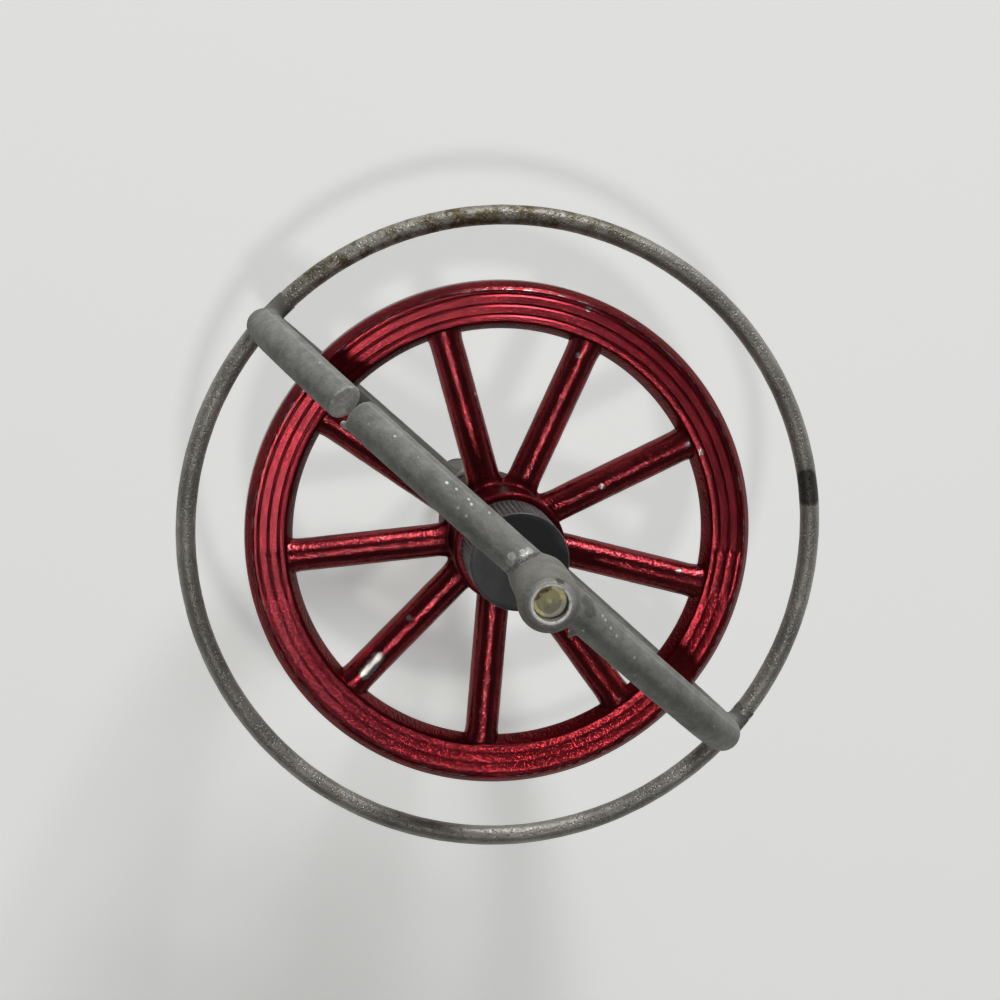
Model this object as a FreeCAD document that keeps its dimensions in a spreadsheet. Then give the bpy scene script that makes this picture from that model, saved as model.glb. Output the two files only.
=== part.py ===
import FreeCAD, Part
import os
import Sketcher

# Toy gyroscope: a nine-spoke flywheel that spins on a steel axle inside a split upright frame, with a wire
# ring round its equator. Origin: the centre of the wheel. +Z: the spin axis, towards the front nose.
# +X: in the plane of the upright frame, away from its split. Sizes are in millimetres and degrees.
# A used toy has taken a set: frame_lean and ring_offset are that set, and 0 for both makes it square.

SIZES = (
    ("frame_outer", 32.2, "outer radius of the upright frame"),
    ("bar_diameter", 3.5, "round bar of the upright frame"),
    ("frame_lean", 1.5, "angle by which the upright frame has been knocked out of square with the axle"),
    ("split_latitude", 44.5, "angle of the frame's split above the equator"),
    ("split_gap", 2.4, "width of the split"),
    ("ring_inset", 0.45, "how far the equator ring lies inside the frame's outer side"),
    ("ring_offset", 0.45, "how far the equator ring has been knocked off the wheel's centre"),
    ("wire_diameter", 2.0, "round wire of the equator ring"),
    ("collar_wall", 0.2, "wall of the collar that grips the ring beside the frame"),
    ("collar_length", 1.4, "collar length beyond the bar's side"),
    ("eye_depth", 8.4, "height of the eye that carries a pivot cup, along the axis"),
    ("eye_radius", 2.55, "radius of the eye where it meets the bar"),
    ("eye_straight", 2.9, "height of the eye's straight part"),
    ("eye_inset", 0.2, "how far the eye stands in from the bar's inner side"),
    ("shoulder_radius", 2.9, "radius of the eye's shoulder"),
    ("shoulder_drop", 0.8, "height of the slope between the shoulder and the pivot cup"),
    ("web_foot", 4.0, "half the length of the web that joins eye and bar, at the bar"),
    ("web_head", 2.6, "half the length of the web at the shoulder"),
    ("web_width", 1.8, "width of the web"),
    ("cup_seat_radius", 2.3, "radius of the pivot cup on its eye"),
    ("cup_shank_radius", 2.05, "radius of the cup's shank inside the eye"),
    ("cup_lip_radius", 1.95, "outer radius of the worn lip round the socket"),
    ("cup_height", 0.5, "height of the cup's lip above its seat on the eye"),
    ("socket_radius", 1.5, "radius of the outer socket that a stand's pin enters"),
    ("socket_depth", 1.6, "depth of the outer socket"),
    ("bearing_radius", 1.65, "radius of the bearing plug"),
    ("dimple_radius", 1.1, "radius of the plug's outer dimple"),
    ("dimple_depth", 0.5, "depth of the plug's outer dimple"),
    ("pivot_radius", 0.75, "radius of the axle's turned-down end"),
    ("pivot_length", 3.2, "straight length of the bearing hole"),
    ("point_height", 0.55, "height of the axle's pointed tip"),
    ("axle_radius", 1.2, "radius of the axle"),
    ("thread_hole_radius", 0.5, "radius of the cross hole for the pull string"),
    ("thread_hole_offset", 5.5, "distance of the cross hole from the drum's outer end"),
    ("wheel_outer", 24.8, "outer radius of the flywheel"),
    ("wheel_opening", 20.05, "radius of the flywheel's opening at mid-thickness"),
    ("rim_thickness", 3.6, "thickness of the flywheel's rim"),
    ("rim_land", 1.5, "height of the flat band round the rim"),
    ("face_inner", 20.9, "inner radius of the rim's flat face"),
    ("face_outer", 24.05, "outer radius of the rim's flat face"),
    ("groove_first", 21.6, "radius of the innermost turned groove"),
    ("groove_pitch", 0.98, "distance between turned grooves"),
    ("groove_width", 0.36, "width of a turned groove"),
    ("groove_depth", 0.16, "depth of a turned groove"),
    ("spoke_count", 9, "number of spokes"),
    ("spoke_diameter", 3.3, "diameter of a round spoke"),
    ("spoke_start", 27.4, "angle of the first spoke from the frame's plane"),
    ("hub_radius", 5.05, "radius of the flywheel's hub"),
    ("hub_lip_radius", 5.4, "radius of the hub's raised end lip"),
    ("hub_lip_height", 1.0, "height of the hub's raised end lip"),
    ("hub_half_length", 8.9, "half the length of the hub"),
    ("drum_radius", 4.65, "radius of a knurled drum"),
    ("drum_length", 7.6, "length of a knurled drum"),
    ("drum_chamfer", 0.25, "chamfer of a knurled drum's outer edge"),
    ("knurl_count", 60, "number of knurl grooves"),
    ("knurl_width", 0.34, "width of a knurl groove at the surface"),
    ("knurl_depth", 0.2, "depth of a knurl groove"),
    ("press_gap", 0.02, "radial gap between pressed pieces"),
    ("pivot_gap", 0.05, "radial running gap of the axle in its bearing"),
    ("end_gap", 0.1, "end play of the axle's pointed tip"),
    ("shoulder_gap", 0.3, "gap between the axle's shoulder and the bearing"),
)

# Levels and radii that several pieces share, worked out from the driving sizes.
BAR_LINE = "(sizes.frame_outer - sizes.bar_diameter / 2)"
RING_LINE = "(sizes.frame_outer - sizes.ring_inset - sizes.wire_diameter / 2)"
EYE_BASE = "(sizes.frame_outer - sizes.bar_diameter - sizes.eye_inset)"
EYE_SEAT = "(sizes.frame_outer - sizes.bar_diameter - sizes.eye_inset + sizes.eye_depth)"
SHOULDER = f"({EYE_SEAT} - sizes.shoulder_drop)"
LIP_LEVEL = f"({EYE_SEAT} + sizes.cup_height)"
SOCKET_FLOOR = f"({LIP_LEVEL} - sizes.socket_depth)"
POINT_BASE = f"({EYE_BASE} + sizes.pivot_length)"
RIM_HALF = "(sizes.rim_thickness / 2)"
AXLE_BORE = "(sizes.axle_radius + sizes.press_gap)"
DRUM_END = "(sizes.hub_half_length + sizes.drum_length)"

doc = FreeCAD.newDocument("gyroscope")
sheet = doc.addObject("Spreadsheet::Sheet", "sizes")
for row, (alias, value, meaning) in enumerate(SIZES, start=1):
    sheet.set(f"A{row}", alias)
    sheet.set(f"B{row}", str(value))
    sheet.set(f"C{row}", meaning)
    sheet.setAlias(f"B{row}", alias)
doc.recompute()

pieces = []


def new_body(label):
    """An empty body whose label names its part file."""
    body = doc.addObject("PartDesign::Body", label)
    body.Label = label
    pieces.append(body)
    return body


def origin_feature(body, role):
    """One of the body's own origin planes or axes."""
    return next(item for item in body.Origin.OriginFeatures if item.Role == role)


def new_sketch(body, name, plane):
    sketch = body.newObject("Sketcher::SketchObject", name)
    sketch.AttachmentSupport = [(origin_feature(body, plane), "")]
    sketch.MapMode = "FlatFace"
    return sketch


def pin_point(sketch, line, end, across, up):
    """Holds one end of a line at two expressions measured from the origin."""
    for kind, axis, text in (("DistanceX", -2, across), ("DistanceY", -1, up)):
        if text == "0":
            sketch.addConstraint(Sketcher.Constraint("PointOnObject", line, end, axis))
            continue
        value = float(sketch.evalExpression(text))
        index = sketch.addConstraint(Sketcher.Constraint(kind, -1, 1, line, end, value))
        sketch.setExpression(f"Constraints[{index}]", text)


def outline(body, name, corners, plane="XZ_Plane"):
    """A closed sketch of straight lines through corners that are given as expressions."""
    sketch = new_sketch(body, name, plane)
    spots = [
        FreeCAD.Vector(sketch.evalExpression(across), sketch.evalExpression(up), 0)
        for across, up in corners
    ]
    count = len(spots)
    for index in range(count):
        sketch.addGeometry(Part.LineSegment(spots[index], spots[(index + 1) % count]))
    for index in range(count):
        sketch.addConstraint(Sketcher.Constraint("Coincident", index, 2, (index + 1) % count, 1))
    for index, (across, up) in enumerate(corners):
        pin_point(sketch, index, 1, across, up)
    return sketch


def circle(body, name, radius, across="0", plane="XZ_Plane"):
    """A sketch of one circle, with its centre on the horizontal axis."""
    sketch = new_sketch(body, name, plane)
    centre = FreeCAD.Vector(sketch.evalExpression(across), 0, 0)
    size = float(sketch.evalExpression(radius))
    sketch.addGeometry(Part.Circle(centre, FreeCAD.Vector(0, 0, 1), size))
    index = sketch.addConstraint(Sketcher.Constraint("Radius", 0, size))
    sketch.setExpression(f"Constraints[{index}]", radius)
    pin_point(sketch, 0, 3, across, "0")
    return sketch


def turn(body, name, sketch, kind="Revolution", angle=None):
    """Turns a sketch about its own vertical axis, to add material or to cut it."""
    feature = body.newObject(f"PartDesign::{kind}", name)
    feature.Profile = sketch
    feature.ReferenceAxis = (sketch, ["V_Axis"])
    feature.Angle = 360
    if angle:
        feature.setExpression("Angle", angle)
    sketch.Visibility = False
    return feature


def mirror(body, name, originals, plane):
    feature = body.newObject("PartDesign::Mirrored", name)
    feature.Originals = originals
    feature.MirrorPlane = (origin_feature(body, plane), [""])
    body.Tip = feature
    return feature


def repeat_round_axis(body, name, originals, count):
    feature = body.newObject("PartDesign::PolarPattern", name)
    feature.Originals = originals
    feature.Axis = (origin_feature(body, "Z_Axis"), [""])
    feature.Angle = 360
    feature.setExpression("Occurrences", count)
    body.Tip = feature
    return feature


def cut_through(body, name, sketch, length):
    """A pocket of the given length, half of it on each side of its sketch."""
    feature = body.newObject("PartDesign::Pocket", name)
    feature.Profile = sketch
    feature.Type = "Length"
    feature.Midplane = True
    feature.setExpression("Length", length)
    sketch.Visibility = False
    return feature


def face_rear(body):
    """Turns a piece that was made at the front over to the rear end of the axis."""
    body.Placement = FreeCAD.Placement(
        FreeCAD.Vector(0, 0, 0), FreeCAD.Rotation(FreeCAD.Vector(1, 0, 0), 180)
    )


def make_equator_ring():
    ring = doc.addObject("Part::Torus", "equator_ring")
    ring.Label = "equator_ring"
    ring.setExpression("Radius1", RING_LINE)
    ring.setExpression("Radius2", "sizes.wire_diameter / 2")
    ring.setExpression("Placement.Base.y", "sizes.ring_offset")
    pieces.append(ring)


def make_axle_frame():
    """The upright ring, its two eyes for the pivot cups with their webs, the ring collars and the split."""
    frame = new_body("axle_frame")
    bar = circle(frame, "bar_section", "sizes.bar_diameter / 2", BAR_LINE, "XY_Plane")
    bar.AttachmentOffset = FreeCAD.Placement(
        FreeCAD.Vector(0, 0, 0), FreeCAD.Rotation(FreeCAD.Vector(-1, 0, 0), 1)
    )
    bar.setExpression("AttachmentOffset.Rotation.Angle", "sizes.frame_lean")
    turn(frame, "bar", bar)

    eye = outline(frame, "eye_outline", [
        ("0", EYE_BASE),
        ("sizes.eye_radius", EYE_BASE),
        ("sizes.eye_radius", f"{EYE_BASE} + sizes.eye_straight"),
        ("sizes.shoulder_radius", SHOULDER),
        ("sizes.cup_seat_radius", EYE_SEAT),
        ("0", EYE_SEAT),
    ])
    front_eye = turn(frame, "front_eye", eye)
    web = outline(frame, "web_outline", [
        ("-sizes.web_foot", BAR_LINE),
        ("sizes.web_foot", BAR_LINE),
        ("sizes.web_head", SHOULDER),
        ("-sizes.web_head", SHOULDER),
    ])
    front_web = frame.newObject("PartDesign::Pad", "front_web")
    front_web.Profile = web
    front_web.Midplane = True
    front_web.setExpression("Length", "sizes.web_width")
    web.Visibility = False
    mirror(frame, "rear_eye", [front_eye, front_web], "XY_Plane")

    collar = circle(frame, "collar_section", "sizes.wire_diameter / 2 + sizes.collar_wall", RING_LINE)
    collar.setExpression("AttachmentOffset.Base.z", "-sizes.ring_offset")
    reach = f"(sizes.bar_diameter / 2 + sizes.collar_length - sizes.ring_offset) / {RING_LINE}"
    near_collar = turn(frame, "near_collar", collar, angle=f"{reach} * 180 / pi")
    mirror(frame, "far_collar", [near_collar], "YZ_Plane")

    tunnel = circle(frame, "wire_tunnel_section", "sizes.wire_diameter / 2 + sizes.press_gap", RING_LINE)
    tunnel.setExpression("AttachmentOffset.Base.z", "-sizes.ring_offset")
    near_tunnel = turn(frame, "near_wire_tunnel", tunnel, "Groove", f"4 * {reach} * 180 / pi")
    near_tunnel.Midplane = True
    mirror(frame, "far_wire_tunnel", [near_tunnel], "YZ_Plane")

    bore = circle(frame, "eye_bore_section", "sizes.cup_shank_radius + sizes.press_gap", "0", "XY_Plane")
    cut_through(frame, "eye_bores", bore, "3 * sizes.frame_outer")

    inner = "(sizes.frame_outer - 1.5 * sizes.bar_diameter)"
    outer = "(sizes.frame_outer + sizes.bar_diameter / 2)"
    latitude = "sizes.split_latitude * 1 deg"
    corners = []
    for radius, side in ((inner, "-"), (outer, "-"), (outer, "+"), (inner, "+")):
        across = f"-({radius} * cos({latitude})) {side} sizes.split_gap / 2 * sin({latitude})"
        up = f"{radius} * sin({latitude}) {side} sizes.split_gap / 2 * cos({latitude})"
        corners.append((across, up))
    split = outline(frame, "split_outline", corners)
    cut_through(frame, "split", split, "2 * sizes.bar_diameter")


def make_pivot_cup(label):
    """A turned cup with an outer socket, pressed into an eye of the frame from outside up to its lip."""
    cup = new_body(label)
    bearing_bore = "sizes.bearing_radius + sizes.press_gap"
    section = outline(cup, label + "_outline", [
        (bearing_bore, EYE_BASE),
        ("sizes.cup_shank_radius", EYE_BASE),
        ("sizes.cup_shank_radius", EYE_SEAT),
        ("sizes.cup_seat_radius", EYE_SEAT),
        ("sizes.cup_lip_radius", LIP_LEVEL),
        ("sizes.socket_radius", LIP_LEVEL),
        ("sizes.socket_radius", SOCKET_FLOOR),
        (bearing_bore, SOCKET_FLOOR),
    ])
    turn(cup, label + "_turned", section)
    return cup


def make_bearing(label):
    """A plug pressed into the cup from inside, with the axle's hole and an outer dimple."""
    bearing = new_body(label)
    hole = "sizes.pivot_radius + sizes.pivot_gap"
    slope = "sizes.point_height / sizes.pivot_radius"
    section = outline(bearing, label + "_outline", [
        (hole, EYE_BASE),
        ("sizes.bearing_radius", EYE_BASE),
        ("sizes.bearing_radius", SOCKET_FLOOR),
        ("sizes.dimple_radius", SOCKET_FLOOR),
        ("0", f"{SOCKET_FLOOR} - sizes.dimple_depth"),
        ("0", f"{POINT_BASE} + ({hole}) * {slope}"),
        (hole, POINT_BASE),
    ])
    turn(bearing, label + "_turned", section)
    return bearing


def make_axle():
    """The steel axle with a pointed pivot at each end and a cross hole for the string."""
    axle = new_body("axle")
    shoulder = f"({EYE_BASE} - sizes.shoulder_gap)"
    pivot_end = f"({POINT_BASE} - sizes.end_gap)"
    tip = f"({pivot_end} + sizes.point_height)"
    section = outline(axle, "axle_outline", [
        ("0", f"-{tip}"),
        ("sizes.pivot_radius", f"-{pivot_end}"),
        ("sizes.pivot_radius", f"-{shoulder}"),
        ("sizes.axle_radius", f"-{shoulder}"),
        ("sizes.axle_radius", shoulder),
        ("sizes.pivot_radius", shoulder),
        ("sizes.pivot_radius", pivot_end),
        ("0", tip),
    ])
    turn(axle, "axle_turned", section)
    hole = circle(axle, "thread_hole_section", "sizes.thread_hole_radius")
    hole.setExpression("AttachmentOffset.Base.y", f"{DRUM_END} + sizes.thread_hole_offset")
    cut_through(axle, "thread_hole", hole, "4 * sizes.axle_radius")


def rim_outline():
    """Half of the rim's section: opening, grooved face, chamfer and outer band."""
    groove = "(sizes.groove_width / 2)"
    grooved_face = []
    for number in range(3):
        middle = f"(sizes.groove_first + {number} * sizes.groove_pitch)"
        grooved_face += [
            (f"{middle} - {groove}", RIM_HALF),
            (middle, f"{RIM_HALF} - sizes.groove_depth"),
            (f"{middle} + {groove}", RIM_HALF),
        ]
    front = (
        [("sizes.face_inner", RIM_HALF)]
        + grooved_face
        + [("sizes.face_outer", RIM_HALF), ("sizes.wheel_outer", "sizes.rim_land / 2")]
    )
    rear = [(across, f"-({up})") for across, up in reversed(front)]
    return [("sizes.wheel_opening", "0")] + front + rear


def make_flywheel():
    """The cast wheel: hub with end lips, nine round spokes and a rim with turned grooves."""
    wheel = new_body("flywheel")
    neck = "sizes.hub_half_length - sizes.hub_lip_height"
    hub = outline(wheel, "hub_outline", [
        (AXLE_BORE, "-sizes.hub_half_length"),
        ("sizes.hub_lip_radius", "-sizes.hub_half_length"),
        ("sizes.hub_lip_radius", f"-({neck})"),
        ("sizes.hub_radius", f"-({neck})"),
        ("sizes.hub_radius", neck),
        ("sizes.hub_lip_radius", neck),
        ("sizes.hub_lip_radius", "sizes.hub_half_length"),
        (AXLE_BORE, "sizes.hub_half_length"),
    ])
    turn(wheel, "hub", hub)

    spoke_root = "(sizes.axle_radius + sizes.hub_radius) / 2"
    spoke_end = "(sizes.face_inner + sizes.face_outer) / 2"
    section = circle(wheel, "spoke_section", "sizes.spoke_diameter / 2", "0", "YZ_Plane")
    section.setExpression("AttachmentOffset.Base.z", spoke_root)
    spoke = wheel.newObject("PartDesign::Pad", "spoke")
    spoke.Profile = section
    spoke.setExpression("Length", f"{spoke_end} - {spoke_root}")
    section.Visibility = False
    repeat_round_axis(wheel, "spokes", [spoke], "sizes.spoke_count")

    turn(wheel, "rim", outline(wheel, "rim_outline", rim_outline()))
    wheel.Placement.Rotation = FreeCAD.Rotation(FreeCAD.Vector(0, 0, 1), 0)
    wheel.setExpression("Placement.Rotation.Angle", "sizes.spoke_start")


def make_drum(label):
    """A knurled drum on the axle, against the end of the hub."""
    drum = new_body(label)
    foot = "sizes.hub_half_length"
    section = outline(drum, label + "_outline", [
        (AXLE_BORE, foot),
        ("sizes.drum_radius", foot),
        ("sizes.drum_radius", f"{DRUM_END} - sizes.drum_chamfer"),
        ("sizes.drum_radius - sizes.drum_chamfer", DRUM_END),
        (AXLE_BORE, DRUM_END),
    ])
    turn(drum, label + "_turned", section)
    proud = "sizes.drum_radius + sizes.knurl_depth"
    notch = outline(drum, label + "_knurl_outline", [
        ("sizes.drum_radius - sizes.knurl_depth", "0"),
        (proud, "sizes.knurl_width"),
        (proud, "-sizes.knurl_width"),
    ], "XY_Plane")
    groove = cut_through(drum, label + "_knurl_groove", notch, f"3 * {DRUM_END}")
    repeat_round_axis(drum, label + "_knurl", [groove], "sizes.knurl_count")
    return drum


make_equator_ring()
make_axle_frame()
make_pivot_cup("front_pivot_cup")
face_rear(make_pivot_cup("rear_pivot_cup"))
make_bearing("front_bearing")
face_rear(make_bearing("rear_bearing"))
make_axle()
make_flywheel()
make_drum("front_drum")
face_rear(make_drum("rear_drum"))
doc.recompute()

for item in doc.Objects:
    if "Invalid" in item.State or "Error" in item.State:
        raise RuntimeError(f"{item.Label} failed to build: {item.State}")
for piece in pieces:
    if piece.Shape.isNull() or not piece.Shape.isValid() or not piece.Shape.Solids:
        raise RuntimeError(f"{piece.Label} has no valid solid")

os.makedirs("parts", exist_ok=True)
for piece in pieces:
    piece.Shape.exportStep(os.path.join("parts", piece.Label + ".step"))
    box = piece.Shape.BoundBox
    print(f"{piece.Label}: {piece.Shape.Volume:.1f} mm3, {len(piece.Shape.Solids)} solid,"
          f" {box.XLength:.2f} x {box.YLength:.2f} x {box.ZLength:.2f} mm")
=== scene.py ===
"""Toy gyroscope: softened castings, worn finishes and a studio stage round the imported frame."""

import math

import bmesh
import bpy
from mathutils import Matrix, Vector


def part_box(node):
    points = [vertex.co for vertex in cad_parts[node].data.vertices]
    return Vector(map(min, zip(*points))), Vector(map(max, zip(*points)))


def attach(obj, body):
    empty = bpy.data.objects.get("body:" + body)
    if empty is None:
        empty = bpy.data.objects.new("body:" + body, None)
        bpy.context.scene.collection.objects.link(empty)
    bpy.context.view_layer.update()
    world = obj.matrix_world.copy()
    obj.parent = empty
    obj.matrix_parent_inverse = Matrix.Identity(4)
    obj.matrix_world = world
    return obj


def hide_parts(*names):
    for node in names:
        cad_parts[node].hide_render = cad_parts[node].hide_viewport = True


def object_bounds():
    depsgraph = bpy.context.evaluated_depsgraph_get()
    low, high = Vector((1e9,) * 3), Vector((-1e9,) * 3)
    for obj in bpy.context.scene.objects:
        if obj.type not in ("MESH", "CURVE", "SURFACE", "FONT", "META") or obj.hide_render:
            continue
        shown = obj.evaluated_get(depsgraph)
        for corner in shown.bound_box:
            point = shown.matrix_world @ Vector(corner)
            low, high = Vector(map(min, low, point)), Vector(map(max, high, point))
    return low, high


bl_info = {
    "name": "Toy gyroscope",
    "version": (1, 0, 0),
    "blender": (4, 5, 0),
    "location": "View3D > Sidebar > Gyroscope",
    "description": "Models and finishes the pieces of a toy gyroscope and sets its stage",
    "category": "Object",
}

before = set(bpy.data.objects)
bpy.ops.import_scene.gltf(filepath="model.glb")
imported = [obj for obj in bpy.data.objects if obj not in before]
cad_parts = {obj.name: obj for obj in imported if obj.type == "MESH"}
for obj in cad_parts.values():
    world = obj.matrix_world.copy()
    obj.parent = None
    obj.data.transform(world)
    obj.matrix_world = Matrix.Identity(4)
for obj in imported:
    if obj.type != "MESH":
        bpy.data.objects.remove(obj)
CAD_BOX = [list(corner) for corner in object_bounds()]

MM = 0.001
TURN = 2 * math.pi

ring_low, ring_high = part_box("equator_ring")
casting_low, casting_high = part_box("axle_frame")
cup_low, cup_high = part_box("front_pivot_cup")
bearing_low, bearing_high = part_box("front_bearing")
wheel_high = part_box("flywheel")[1]
drum_low, drum_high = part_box("front_drum")

# Shapes, in millimetres from the wheel's centre.
BORE_RADIUS = 2.07
BAR_END = (30.2, 0, 9.5)
BAR_END_STEP = (-1.3, 0, 0)
BURR_PLACE = (-21.5, -0.9, 22.35)
BURR_SIZE = (1.5, 0.8, 0.7)
BEAD_PLACE = (4.75, -1.15, 30.5)
BEAD_SIZE = (0.6, 0.95, 0.65)
EYE_FOOT_RADIUS = 2.55
REAR_EYE_SHOULDER = 2.35
REAR_EYE_SHARE = 0.85
HUB_RADIUS = 5.05
HUB_LIP_RADIUS = 5.4
HUB_LIP_HEIGHT = 1.0
AXLE_HOLE_RADIUS = 1.22
RIM_HALF_THICKNESS = 1.8
GROOVE_COUNT = 3
FIRST_GROOVE = 21.6
GROOVE_PITCH = 0.98
GROOVE_HALF_WIDTH = 0.17
GROOVE_DEPTH = 0.12
REAR_DRUM_FOOT = 4.5
REAR_DRUM_END = 3.5

# Distance from the axis in millimetres, then how much wider the spoke is there: across the wheel
# and along the axis.
SPOKE_STATIONS = (
    (3.2, 1.06, 1.0), (5.3, 1.06, 1.0), (6.2, 1.0, 1.0), (19.4, 1.0, 1.0),
    (19.9, 1.03, 1.0), (20.3, 1.1, 1.01), (21.1, 1.16, 1.01),
)

# Spots of wear and dirt on the surfaces, with painted shadow beside the boss and painted sheen at the seam,
# in millimetres from the wheel's centre.
BAR_NICKS = (
    (-12.42, 1.57, 29.47), (-11.45, 1.74, 29.76), (-10.37, 0.59, 30.47), (-9.41, 0.54, 30.77),
    (-8.02, 2.12, 30.52), (-10.12, 1.8, 30.2), (-9.7, 1.63, 30.45), (5.56, 1.97, 31.24),
    (6.0, 1.86, 31.25), (6.86, 1.62, 31.23), (7.78, 1.43, 31.1), (10.48, 0.98, 30.42),
    (5.1, -0.2, 31.48), (-26.36, 1.65, 17.64), (-18.09, 1.49, 26.38),
)
SEAM_RUB_AND_SHEEN = ((-4.2, 0.55, 31.9), (-4.0, 0.1, 31.8), (-3.6, 1.5, 31.83), (-3.3, 1.95, 31.55))
BOSS_PAINTED_SHADOW = ((3.7, 2.0, 31.4), (4.3, 1.5, 31.5))
NOSE_STAINS = ((-2.0, -1.3, 36.3), (-0.7, 1.9, 37.0))
RING_SOOT = ((19.4, 24.1, 0.9), (20.4, 23.3, 0.5))
BARE_METAL = ((-0.95, -16.9, 1.6), (-0.9, -17.6, 1.6), (-0.85, -18.2, 1.6), (-0.85, -18.8, 1.6))
LACQUER_CHIPS = (
    (-8.7, -7.75, 1.5), (-1.3, -11.9, 1.5), (-1.05, -18.3, 1.5), (-6.2, 18.1, 1.5), (4.3, 10.15, 1.5),
    (15.7, 9.05, 1.5), (7.75, 18.85, 1.8), (9.25, 19.15, 1.8), (-8.5, 22.1, 1.8),
)

# The stage: the camera in millimetres, the lamps in metres, the sky as (height, brightness).
CAMERA_PLACE = (-57.703, 11.870, 283.972)
CAMERA_LOOK = (0.19208, -0.03224, -0.98085)
CAMERA_UP = (-0.65111, 0.74361, -0.15195)
CAMERA_LENS = 106.67
FLOOR_TINT = (0.88, 0.885, 0.865)
FLOOR_GLOW = 0.33
LAMP_DISTANCE = 1.5
OVERHEAD_DIRECTION = (0.02, -0.09, 1.0)
SIDE_DIRECTION = (-0.43, 0.81, 0.42)
SKY_BANDS = ((0.0, 0.72), (0.14, 0.7), (0.26, 0.1), (1.0, 0.03))


def size(name, text, value):
    """A length that the user can change, in metres."""
    return bpy.props.FloatProperty(name=name, description=text, default=value, unit="LENGTH", precision=5)


def colour(name, text, value):
    """A colour that the user can change."""
    return bpy.props.FloatVectorProperty(
        name=name, description=text, default=value, size=4, subtype="COLOR", min=0, max=1
    )


class CastingSizes(bpy.types.PropertyGroup):
    """The upright frame's sizes and colour"""

    bar_radius: size("Bar radius", "Half the thickness of the upright frame's round bar", 1.75 * MM)
    lean: bpy.props.FloatProperty(
        name="Lean", description="How far the upright frame leans out of square with the axle",
        default=math.radians(1.5), subtype="ANGLE",
    )
    split_latitude: bpy.props.FloatProperty(
        name="Split latitude", description="Angle of the frame's split above the equator",
        default=math.radians(44.5), subtype="ANGLE",
    )
    split_gap: size("Split gap", "Width of the frame's split", 2.4 * MM)
    shoulder: size("Shoulder radius", "Radius of the shoulder of the eye that carries a pivot cup", 2.9 * MM)
    grey: colour("Casting grey", "Colour of the bare cast metal", (0.24, 0.24, 0.222, 1))


class RingSizes(bpy.types.PropertyGroup):
    """The equator ring's size and colours"""

    wire_radius: size("Wire radius", "Half the thickness of the ring's wire", (ring_high.z - ring_low.z) / 2)
    steel: colour("Ring steel", "Colour of the ring's clean metal", (0.37, 0.35, 0.315, 1))
    stain: colour("Stain", "Colour of the brown stains", (0.1, 0.075, 0.035, 1))


class WheelSizes(bpy.types.PropertyGroup):
    """The flywheel's sizes and colour"""

    spoke_count: bpy.props.IntProperty(name="Spokes", description="Number of spokes", default=9, min=3)
    spoke_radius: size("Spoke radius", "Half the thickness of a round spoke", 1.65 * MM)
    spoke_start: bpy.props.FloatProperty(
        name="First spoke", description="Angle of the first spoke from the frame's plane",
        default=math.radians(27.4), subtype="ANGLE",
    )
    lacquer: colour("Lacquer", "Colour of the red lacquer over bright metal", (0.27, 0.018, 0.027, 1))


class DrumSizes(bpy.types.PropertyGroup):
    """The knurled drum's sizes and the drums' colour"""

    knurl_count: bpy.props.IntProperty(
        name="Knurls", description="Number of knurl grooves", default=60, min=12,
    )
    knurl_depth: size("Knurl depth", "Depth of a knurl groove", 0.2 * MM)
    black: colour("Drum black", "Colour of the drums", (0.028, 0.028, 0.03, 1))


# ---------------------------------------------------------------- modelling helpers


def clear_selection():
    """Leaves edit mode and selects nothing."""
    if bpy.context.mode != "OBJECT":
        bpy.ops.object.mode_set(mode="OBJECT")
    bpy.ops.object.select_all(action="DESELECT")


def adopt(name):
    """Names the newest object and puts its place into its mesh."""
    piece = bpy.context.object
    piece.name = name
    piece.data.name = name
    bpy.ops.object.transform_apply(location=True, rotation=True, scale=True)
    return piece


def only(piece):
    """Makes the piece the one that is selected and active."""
    clear_selection()
    piece.select_set(True)
    bpy.context.view_layer.objects.active = piece


def edit(piece):
    """Opens the piece in edit mode."""
    only(piece)
    bpy.ops.object.mode_set(mode="EDIT")


def pick(piece, test):
    """In edit mode, selects the vertices whose place passes the test."""
    bpy.ops.mesh.select_mode(type="VERT")
    bpy.ops.mesh.select_all(action="DESELECT")
    shape = bmesh.from_edit_mesh(piece.data)
    for point in shape.verts:
        point.select = test(point.co)
    shape.select_flush_mode()
    bmesh.update_edit_mesh(piece.data)


def close_shape():
    """In edit mode, merges doubled vertices and turns the faces outwards."""
    bpy.ops.mesh.select_all(action="SELECT")
    bpy.ops.mesh.remove_doubles(threshold=0.001 * MM)
    bpy.ops.mesh.normals_make_consistent(inside=False)
    bpy.ops.object.mode_set(mode="OBJECT")


def apply(piece, kind, **settings):
    """Adds a modifier with these settings and applies it."""
    only(piece)
    modifier = piece.modifiers.new(kind.lower(), kind)
    for key, value in settings.items():
        setattr(modifier, key, value)
    bpy.ops.object.modifier_apply(modifier=modifier.name)


def combine(piece, other, operation):
    """Joins another solid to the piece or cuts it away, and removes the other."""
    apply(piece, "BOOLEAN", object=other, operation=operation, solver="MANIFOLD")
    bpy.data.objects.remove(other)


def weld(name, parts):
    """Puts overlapping solids together under one name."""
    clear_selection()
    for part in parts:
        part.select_set(True)
    bpy.context.view_layer.objects.active = parts[0]
    bpy.ops.object.join()
    parts[0].name = name
    parts[0].data.name = name
    return parts[0]


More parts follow.
